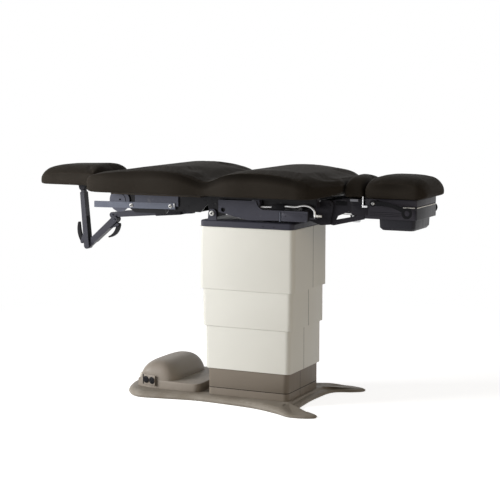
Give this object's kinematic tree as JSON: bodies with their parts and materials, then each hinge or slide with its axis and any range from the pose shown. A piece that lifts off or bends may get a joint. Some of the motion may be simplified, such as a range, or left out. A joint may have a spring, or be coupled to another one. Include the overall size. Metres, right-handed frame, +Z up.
{
  "type": "power procedure table",
  "caption": "Powered medical procedure table: telescoping column on a floor plate, tilting black upholstered top with a raising back, articulated headrest and drop-down extending foot section.",
  "frame": {"origin": "on the floor under the lift column's axis", "axes": "+X towards the foot end, +Y towards the far side, +Z up"},
  "size_m": [2.063, 0.7214, 1.1352],
  "materials": {
    "taupe_paint": "satin paint",
    "taupe_plastic": "fine matt moulding",
    "dark_taupe_plastic": "fine matt moulding",
    "cream_plastic": "smooth matt moulding",
    "charcoal_paint": "satin powder coat",
    "grey_paint": "satin powder coat",
    "bright_steel": "polished",
    "plated_steel": "plated",
    "upholstery": "black vinyl-coated upholstery fabric over foam",
    "ply_board": "black stained board",
    "black_plastic": "moulded",
    "aluminium_case": "plain sheet case"
  },
  "bodies": {
    "base": {"base_plate": "taupe_paint", "power_cover": "taupe_plastic", "receptacle_panel": "black_plastic", "cord_inlet": "cream_plastic", "power_supply": "aluminium_case", "skirt_near": "dark_taupe_plastic", "skirt_far": "dark_taupe_plastic", "column_fixed_tube": "plated_steel", "lift_cylinder": "plated_steel"},
    "column_mid": {"column_mid_tube": "plated_steel", "lift_stage": "bright_steel"},
    "cover_lower": {"cover_lower_near": "cream_plastic", "cover_lower_far": "cream_plastic"},
    "cover_mid": {"cover_mid_near": "cream_plastic", "cover_mid_far": "cream_plastic"},
    "carriage": {"column_inner_tube": "plated_steel", "lift_ram": "bright_steel", "cover_upper_near": "cream_plastic", "cover_upper_far": "cream_plastic", "top_plate": "charcoal_paint", "tilt_lug_near": "grey_paint", "tilt_lug_far": "grey_paint", "tilt_actuator": "aluminium_case"},
    "tilt_rod": {"tilt_actuator_rod": "bright_steel"},
    "seat": {"seat_side_near": "grey_paint", "seat_side_far": "grey_paint", "seat_cross": "charcoal_paint", "seat_rear_beam": "charcoal_paint", "seat_pan": "charcoal_paint", "seat_cushion": "upholstery", "hip_fold": "upholstery", "side_hose": "bright_steel", "back_actuator": "aluminium_case", "foot_actuator": "aluminium_case"},
    "back_rod": {"back_actuator_rod": "bright_steel"},
    "foot_rod": {"foot_actuator_rod": "bright_steel"},
    "back": {"back_pan": "charcoal_paint", "back_rail_near": "grey_paint", "back_rail_far": "grey_paint", "back_board": "ply_board", "back_cushion": "upholstery", "head_guide": "grey_paint"},
    "head_slide": {"head_slide_bar": "grey_paint"},
    "head_lower": {"head_link_lower": "grey_paint"},
    "lever_lower": {"head_lever_lower": "charcoal_paint"},
    "head_upper": {"head_link_upper": "grey_paint"},
    "lever_upper": {"head_lever_upper": "charcoal_paint"},
    "head": {"head_bracket": "charcoal_paint", "head_cushion": "upholstery"},
    "foot": {"foot_frame": "charcoal_paint", "bolster": "upholstery"},
    "extension": {"extension_rail_near": "bright_steel", "extension_rail_far": "bright_steel", "foot_box": "black_plastic", "leg_board": "black_plastic", "leg_cushion": "upholstery"},
    "tray": {"treatment_tray": "black_plastic"},
    "stirrup_near": {"stirrup_near": "black_plastic"},
    "stirrup_far": {"stirrup_far": "black_plastic"}
  },
  "joints": [
    {"name": "lift", "type": "slide", "parent": "base", "child": "carriage", "axis": [0, 0, 1], "range_m": [-0.48, 0]},
    {"name": "column_mid_slide", "type": "slide", "parent": "base", "child": "column_mid", "axis": [0, 0, 1], "range_m": [-0.24, 0]},
    {"name": "cover_mid_slide", "type": "slide", "parent": "base", "child": "cover_mid", "axis": [0, 0, 1], "range_m": [-0.3, 0]},
    {"name": "cover_lower_slide", "type": "slide", "parent": "base", "child": "cover_lower", "axis": [0, 0, 1], "range_m": [-0.0912, 0]},
    {"name": "tilt", "type": "hinge", "parent": "carriage", "child": "seat", "pos_m": [-0.17, 0, 0.912], "axis": [0, -1, 0], "range_deg": [0, 15]},
    {"name": "tilt_rod_slide", "type": "slide", "parent": "carriage", "child": "tilt_rod", "axis": [0, 0, 1], "range_m": [0, 0.0597]},
    {"name": "back", "type": "hinge", "parent": "seat", "child": "back", "pos_m": [-0.18, 0, 0.98], "axis": [0, 1, 0], "range_deg": [0, 80], "deforming": ["hip_fold"]},
    {"name": "back_rod_slide", "type": "slide", "parent": "seat", "child": "back_rod", "axis": [-1, 0, 0], "range_m": [0, 0.0772]},
    {"name": "foot", "type": "hinge", "parent": "seat", "child": "foot", "pos_m": [0.398, 0, 0.965], "axis": [0, 1, 0], "range_deg": [0, 90]},
    {"name": "foot_rod_slide", "type": "slide", "parent": "seat", "child": "foot_rod", "axis": [-1, 0, 0], "range_m": [0, 0.1062]},
    {"name": "foot_extension", "type": "slide", "parent": "foot", "child": "extension", "axis": [1, 0, 0], "range_m": [0, 0.12]},
    {"name": "tray_slide", "type": "slide", "parent": "extension", "child": "tray", "axis": [1, 0, 0], "range_m": [0, 0.18]},
    {"name": "stirrup_near_swing", "type": "hinge", "parent": "extension", "child": "stirrup_near", "pos_m": [0.628, -0.1765, 0.986], "axis": [0, -1, 0], "range_deg": [0, 100]},
    {"name": "stirrup_far_swing", "type": "hinge", "parent": "extension", "child": "stirrup_far", "pos_m": [0.628, 0.1765, 0.986], "axis": [0, -1, 0], "range_deg": [0, 100]},
    {"name": "headrest_slide", "type": "slide", "parent": "back", "child": "head_slide", "axis": [-0.9965, 0, -0.083], "range_m": [0, 0.1]},
    {"name": "headrest_lower", "type": "hinge", "parent": "head_slide", "child": "head_lower", "pos_m": [-0.824, 0, 0.837], "axis": [0, 1, 0], "range_deg": [-30, 0]},
    {"name": "lower_lock", "type": "hinge", "parent": "head_lower", "child": "lever_lower", "pos_m": [-0.80822, 0, 0.80965], "axis": [0, 1, 0], "range_deg": [0, 10], "stiffness_Nm_per_rad": 2},
    {"name": "headrest_upper", "type": "hinge", "parent": "head_lower", "child": "head_upper", "pos_m": [-0.99, 0, 0.693], "axis": [0, 1, 0], "range_deg": [-30, 0]},
    {"name": "upper_lock", "type": "hinge", "parent": "head_upper", "child": "lever_upper", "pos_m": [-1.02266, 0, 0.71246], "axis": [0, 1, 0], "range_deg": [0, 10], "stiffness_Nm_per_rad": 2},
    {"name": "headrest_pad", "type": "hinge", "parent": "head_upper", "child": "head", "pos_m": [-1.014, 0, 0.993], "axis": [0, 1, 0], "range_deg": [-30, 10]}
  ],
  "couplings": [
    {"joint": "column_mid_slide", "follows": "lift", "ratio": 0.5},
    {"joint": "cover_mid_slide", "follows": "lift", "ratio": 0.625},
    {"joint": "cover_lower_slide", "follows": "lift", "ratio": 0.19},
    {"joint": "tilt_rod_slide", "follows": "tilt", "m_per_rad": 0.22765},
    {"joint": "back_rod_slide", "follows": "back", "m_per_rad": 0.055244},
    {"joint": "foot_rod_slide", "follows": "foot", "m_per_rad": 0.067524}
  ]
}
